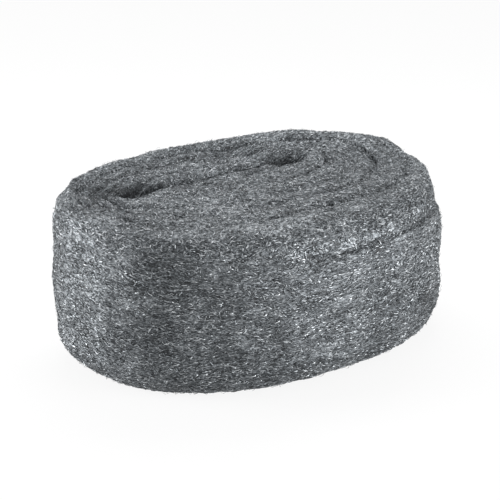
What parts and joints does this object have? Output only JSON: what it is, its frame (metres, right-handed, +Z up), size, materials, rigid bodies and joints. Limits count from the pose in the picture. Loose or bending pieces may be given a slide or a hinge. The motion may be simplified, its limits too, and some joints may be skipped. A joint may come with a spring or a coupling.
{
  "type": "steel wool bundle",
  "caption": "Oblong roll of steel wool: one soft band of fine steel fibre wound flat and stood on its edges, for scouring, rubbing down and polishing.",
  "frame": {"origin": "on the floor, under the middle of the roll's outer box", "axes": "+X along the roll's length, +Y towards its back, +Z up along the width of the band"},
  "size_m": [0.1728, 0.1166, 0.0732],
  "materials": {
    "steel_wool": "dense mass of fine bright steel fibres, satin grey from a step away"
  },
  "bodies": {
    "root": {"wool_roll": "steel_wool"}
  },
  "joints": []
}
